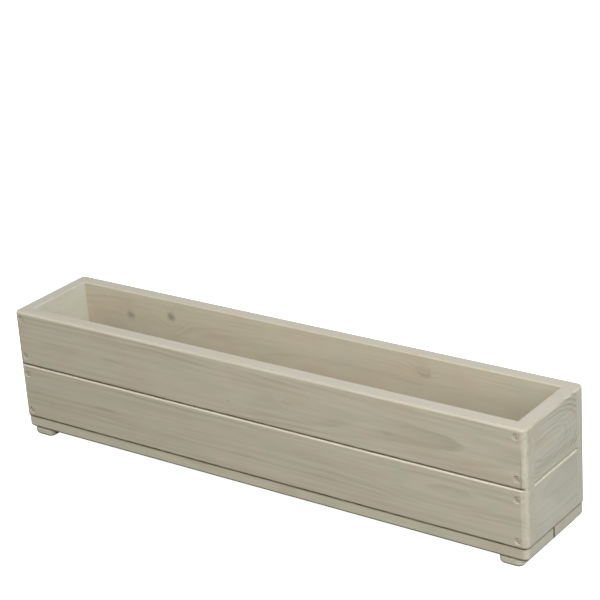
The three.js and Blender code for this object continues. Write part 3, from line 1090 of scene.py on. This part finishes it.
def screw_tree():
    """Geometry Nodes: one countersunk screw, set at every point along the point's direction."""
    tree, graph, given, result = new_group(
        "Countersunk screws",
        "GeometryNodeTree",
        [
            ("Places", "NodeSocketGeometry", None),
            ("Length", FLOAT, None),
            *((name, FLOAT, None) for name in SCREW_SIZES),
            ("Turn Seed", "NodeSocketInt", None),
            ("Finish", "NodeSocketMaterial", None),
        ],
        [("Screws", "NodeSocketGeometry")],
    )
    head = graph.math("MULTIPLY", given["Head Diameter"], 0.5)
    shank = graph.math("MULTIPLY", given["Shank Diameter"], 0.5)
    cone = graph.math("ADD", given["Head Land"], graph.math("SUBTRACT", head, shank))
    point_start = graph.math("SUBTRACT", given["Length"], given["Point Length"])
    stations = (
        (0.0, graph.math("SUBTRACT", head, given["Soft Rim"])),
        (given["Soft Rim"], head),
        (given["Head Land"], head),
        (cone, shank),
        (point_start, shank),
        (given["Length"], SCREW_TIP),
    )

    index = graph.node("GeometryNodeInputIndex").outputs[0]

    def by_station(values):
        switch = graph.node("GeometryNodeIndexSwitch", data_type="FLOAT")
        while len(switch.index_switch_items) < len(values):
            switch.index_switch_items.new()
        graph.feed(switch.inputs["Index"], index)
        for number, value in enumerate(values):
            graph.feed(switch.inputs[number + 1], value)
        return switch.outputs[0]

    line = graph.node("GeometryNodeMeshLine", {"Count": len(stations)}).outputs[0]
    spine = graph.vector(0.0, 0.0, by_station([along for along, radius in stations]))
    placed = graph.node("GeometryNodeSetPosition", {"Geometry": line, "Position": spine}).outputs[0]
    curve = graph.node("GeometryNodeMeshToCurve", {"Mesh": placed}).outputs[0]
    round_section = {"Resolution": SCREW_SIDES, "Radius": 1.0}
    circle = graph.node("GeometryNodeCurvePrimitiveCircle", round_section).outputs[0]
    body = graph.node(
        "GeometryNodeCurveToMesh",
        {
            "Curve": curve,
            "Profile Curve": circle,
            "Scale": by_station([radius for along, radius in stations]),
            "Fill Caps": True,
        },
    ).outputs[0]

    deep = graph.math("MULTIPLY", given["Recess Depth"], 2.0)
    bars = []
    for size in (
        graph.vector(given["Recess Span"], given["Recess Width"], deep),
        graph.vector(given["Recess Width"], given["Recess Span"], deep),
    ):
        bars.append(graph.node("GeometryNodeMeshCube", {"Size": size}).outputs[0])
    recessed = graph.node("GeometryNodeMeshBoolean", operation="DIFFERENCE", solver="EXACT")
    graph.feed(recessed.inputs["Mesh 1"], body)
    for bar in bars:
        graph.tree.links.new(bar, recessed.inputs["Mesh 2"])

    direction = graph.node(
        "GeometryNodeInputNamedAttribute", {"Name": "direction"}, data_type="FLOAT_VECTOR"
    ).outputs[0]
    aim = graph.node("FunctionNodeAlignRotationToVector", {"Vector": direction}, axis="Z")
    turn = graph.node("FunctionNodeRandomValue", data_type="FLOAT")
    graph.feed(turn.inputs[2], 0.0)
    graph.feed(turn.inputs[3], math.pi / 2)
    graph.feed(turn.inputs["Seed"], given["Turn Seed"])
    round_its_axis = {"Axis": (0.0, 0.0, 1.0), "Angle": turn.outputs[1]}
    spin = graph.node("FunctionNodeAxisAngleToRotation", round_its_axis)
    turned = graph.node(
        "FunctionNodeRotateRotation",
        {"Rotation": aim.outputs[0], "Rotate By": spin.outputs[0]},
        rotation_space="LOCAL",
    )
    copies = graph.node(
        "GeometryNodeInstanceOnPoints",
        {"Points": given["Places"], "Instance": recessed.outputs[0], "Rotation": turned.outputs[0]},
    ).outputs[0]
    real = graph.node("GeometryNodeRealizeInstances", {"Geometry": copies}).outputs[0]
    dressed = graph.node("GeometryNodeSetMaterial", {"Geometry": real, "Material": given["Finish"]})
    graph.feed(result.inputs["Screws"], dressed.outputs[0])
    return tree


def screw_set(name, screws, tree, settings, material):
    """One plain mesh with every screw of one length."""
    places = bpy.data.meshes.new(name)
    places.from_pydata([head for node, head, direction, long in screws], [], [])
    attribute = places.attributes.new("direction", "FLOAT_VECTOR", "POINT")
    for number, (node, head, direction, long) in enumerate(screws):
        attribute.data[number].vector = direction
    obj = temporary(name, places)
    modifier = obj.modifiers.new("Screws", "NODES")
    modifier.node_group = tree
    sizes = settings.screws
    values = {name: getattr(sizes, setting) for name, setting in SCREW_SIZES.items()}
    values["Length"] = screws[0][3]
    values["Turn Seed"] = sizes.turn_seed
    values["Finish"] = material
    for socket in tree.interface.items_tree:
        if socket.name in values:
            modifier[socket.identifier] = values[socket.name]
    mesh_data = evaluated_mesh(obj)
    remove([obj])
    finished_piece(name, mesh_data, material, [node for node, *rest in screws])


# Width, height and place of each softbox; the stage setting NAME_light gives its power
SOFTBOXES = {
    "key": (1.2, 1.2, (0.6, -1.8, 2.0)),
    "right": (2.0, 2.0, (3.0, -0.5, 1.5)),
    "left": (2.0, 2.0, (-3.0, -0.5, 1.5)),
    "front": (1.2, 0.8, (0.3, -1.6, 0.9)),
    "near": (1.0, 1.0, (1.3, -1.3, 1.0)),
    "rear": (2.0, 0.6, (-1.2, 2.6, 0.45)),
}
LIT_POINT = Vector((0.0, 0.0, 0.1))  # in the middle of the trough


def softbox(name, watts, width, height, place):
    """Rectangular light aimed at the middle of the trough."""
    light = bpy.data.lights.new(name, "AREA")
    light.shape = "RECTANGLE"
    light.size = width
    light.size_y = height
    light.energy = watts
    obj = bpy.data.objects.new(name, light)
    bpy.context.scene.collection.objects.link(obj)
    obj.location = place
    obj.rotation_euler = (LIT_POINT - Vector(place)).to_track_quat("-Z", "Y").to_euler()


def stage_floor(stage):
    """Pale floor that looks white and sends little light back up to the boards."""
    half = stage.floor_width / 2
    corners = ((-half, -half), (half, -half), (half, half), (-half, half))
    mesh_data = mesh_from(
        "studio_floor",
        lambda shape: shape.faces.new([shape.verts.new((x, y, 0.0)) for x, y in corners]),
    )
    material = bpy.data.materials.new("pale_studio_floor")
    material.use_nodes = True
    material.node_tree.nodes.clear()
    graph = Graph(material.node_tree)
    vector = graph.node("ShaderNodeTexCoord").outputs["Object"]
    mottle = graph.ramp(graph.noise(vector, 2.0, detail=2.0), 0.2, 0.8, 0.0, 0.1)
    pale = graph.mix(mottle, opaque(stage.floor), opaque(stage.floor_bounce))
    lit = graph.node("ShaderNodeBsdfDiffuse", {"Color": pale}).outputs[0]
    glow = graph.node("ShaderNodeEmission", {"Strength": stage.floor_glow}).outputs[0]
    seen = graph.node("ShaderNodeAddShader", {0: lit, 1: glow}).outputs[0]
    bounce_colour = {"Color": opaque(stage.floor_bounce)}
    bounce = graph.node("ShaderNodeBsdfDiffuse", bounce_colour).outputs[0]
    camera_ray = graph.node("ShaderNodeLightPath").outputs["Is Camera Ray"]
    either = graph.node("ShaderNodeMixShader", {0: camera_ray, 1: bounce, 2: seen}).outputs[0]
    graph.node("ShaderNodeOutputMaterial", {"Surface": either})
    mesh_data.materials.append(material)
    floor = bpy.data.objects.new("studio_floor", mesh_data)
    bpy.context.scene.collection.objects.link(floor)


def studio_world(stage):
    """White behind the floor's edge, with a weak even light."""
    world = bpy.data.worlds.new("studio")
    world.use_nodes = True
    graph = Graph(world.node_tree)
    background = world.node_tree.nodes["Background"]
    background.inputs["Color"].default_value = (1.0, 1.0, 1.0, 1.0)
    camera_ray = graph.node("ShaderNodeLightPath").outputs["Is Camera Ray"]
    graph.feed(background.inputs["Strength"], graph.math("MAXIMUM", camera_ray, stage.sky))
    return world


# --- Operators ---------------------------------------------------------------------------------


class WINDOWBOX_OT_long_walls(bpy.types.Operator):
    """Build the front and back walls, two boards each"""

    bl_idname = "window_box.long_walls"
    bl_label = "Long Walls"

    def execute(self, context):
        for name in LONG_BOARDS:
            wall_board(name, context.scene.window_box, along_x=True)
        return {"FINISHED"}


class WINDOWBOX_OT_end_walls(bpy.types.Operator):
    """Build the left and right end walls, two boards each"""

    bl_idname = "window_box.end_walls"
    bl_label = "End Walls"

    def execute(self, context):
        for name in END_BOARDS:
            wall_board(name, context.scene.window_box, along_x=False)
        return {"FINISHED"}


class WINDOWBOX_OT_bottom(bpy.types.Operator):
    """Build the two bottom boards with their drain holes"""

    bl_idname = "window_box.bottom"
    bl_label = "Bottom Boards"

    def execute(self, context):
        for name in BOTTOM_BOARDS:
            bottom_board(name, context.scene.window_box)
        return {"FINISHED"}


class WINDOWBOX_OT_feet(bpy.types.Operator):
    """Build the foot batten under each end"""

    bl_idname = "window_box.feet"
    bl_label = "Foot Battens"

    def execute(self, context):
        for name in FEET:
            foot_batten(name, context.scene.window_box)
        return {"FINISHED"}


class WINDOWBOX_OT_screws(bpy.types.Operator):
    """Set the countersunk screws of the walls, the bottom and the feet"""

    bl_idname = "window_box.screws"
    bl_label = "Screws"

    def execute(self, context):
        settings = context.scene.window_box
        tree = screw_tree()
        material = painted_steel(settings.finish)
        screws = all_screws()
        sets = {
            "wall_screws": ("front_", "back_"),
            "bottom_screws": ("bottom_",),
            "foot_screws": ("foot_",),
        }
        for name, prefixes in sets.items():
            chosen = [screw for screw in screws if screw[0].startswith(prefixes)]
            screw_set(name, chosen, tree, settings, material)
        return {"FINISHED"}


class WINDOWBOX_OT_stage(bpy.types.Operator):
    """Set the camera, the pale floor and the studio lights"""

    bl_idname = "window_box.stage"
    bl_label = "Stage"

    def execute(self, context):
        scene = context.scene
        stage = scene.window_box.stage
        camera = bpy.data.objects.new("camera", bpy.data.cameras.new("camera"))
        scene.collection.objects.link(camera)
        camera.location = stage.camera_place
        camera.rotation_euler = stage.camera_turn
        camera.data.lens = stage.focal_length
        camera.data.clip_end = 2 * stage.floor_width
        scene.camera = camera

        stage_floor(stage)
        for name, (width, height, place) in SOFTBOXES.items():
            softbox(name + "_softbox", getattr(stage, name + "_light"), width, height, place)
        scene.world = studio_world(stage)
        scene.view_settings.view_transform = "Standard"
        return {"FINISHED"}


class WINDOWBOX_PT_panel(bpy.types.Panel):
    """Lists the settings and the builders"""

    bl_idname = "WINDOWBOX_PT_panel"
    bl_label = "Window Box"
    bl_space_type = "VIEW_3D"
    bl_region_type = "UI"
    bl_category = "Window Box"

    def draw(self, context):
        settings = context.scene.window_box
        for group in (settings.rounds, settings.screws, settings.finish, settings.stage):
            box = self.layout.box()
            box.label(text=group.__doc__)
            for name in group.__annotations__:
                box.prop(group, name)
        for operator in OPERATORS:
            self.layout.operator(operator.bl_idname)


OPERATORS = (
    WINDOWBOX_OT_long_walls,
    WINDOWBOX_OT_end_walls,
    WINDOWBOX_OT_bottom,
    WINDOWBOX_OT_feet,
    WINDOWBOX_OT_screws,
    WINDOWBOX_OT_stage,
)
CLASSES = (
    WindowBoxRounds,
    WindowBoxScrews,
    WindowBoxFinish,
    WindowBoxStage,
    WindowBoxSettings,
    *OPERATORS,
    WINDOWBOX_PT_panel,
)


def register():
    for item in CLASSES:
        bpy.utils.register_class(item)
    bpy.types.Scene.window_box = bpy.props.PointerProperty(type=WindowBoxSettings)


def unregister():
    del bpy.types.Scene.window_box
    for item in reversed(CLASSES):
        bpy.utils.unregister_class(item)


def main():
    register()
    bpy.ops.window_box.long_walls()
    bpy.ops.window_box.end_walls()
    bpy.ops.window_box.bottom()
    bpy.ops.window_box.feet()
    bpy.ops.window_box.screws()
    bpy.ops.window_box.stage()


if __name__ == "__main__":
    main()
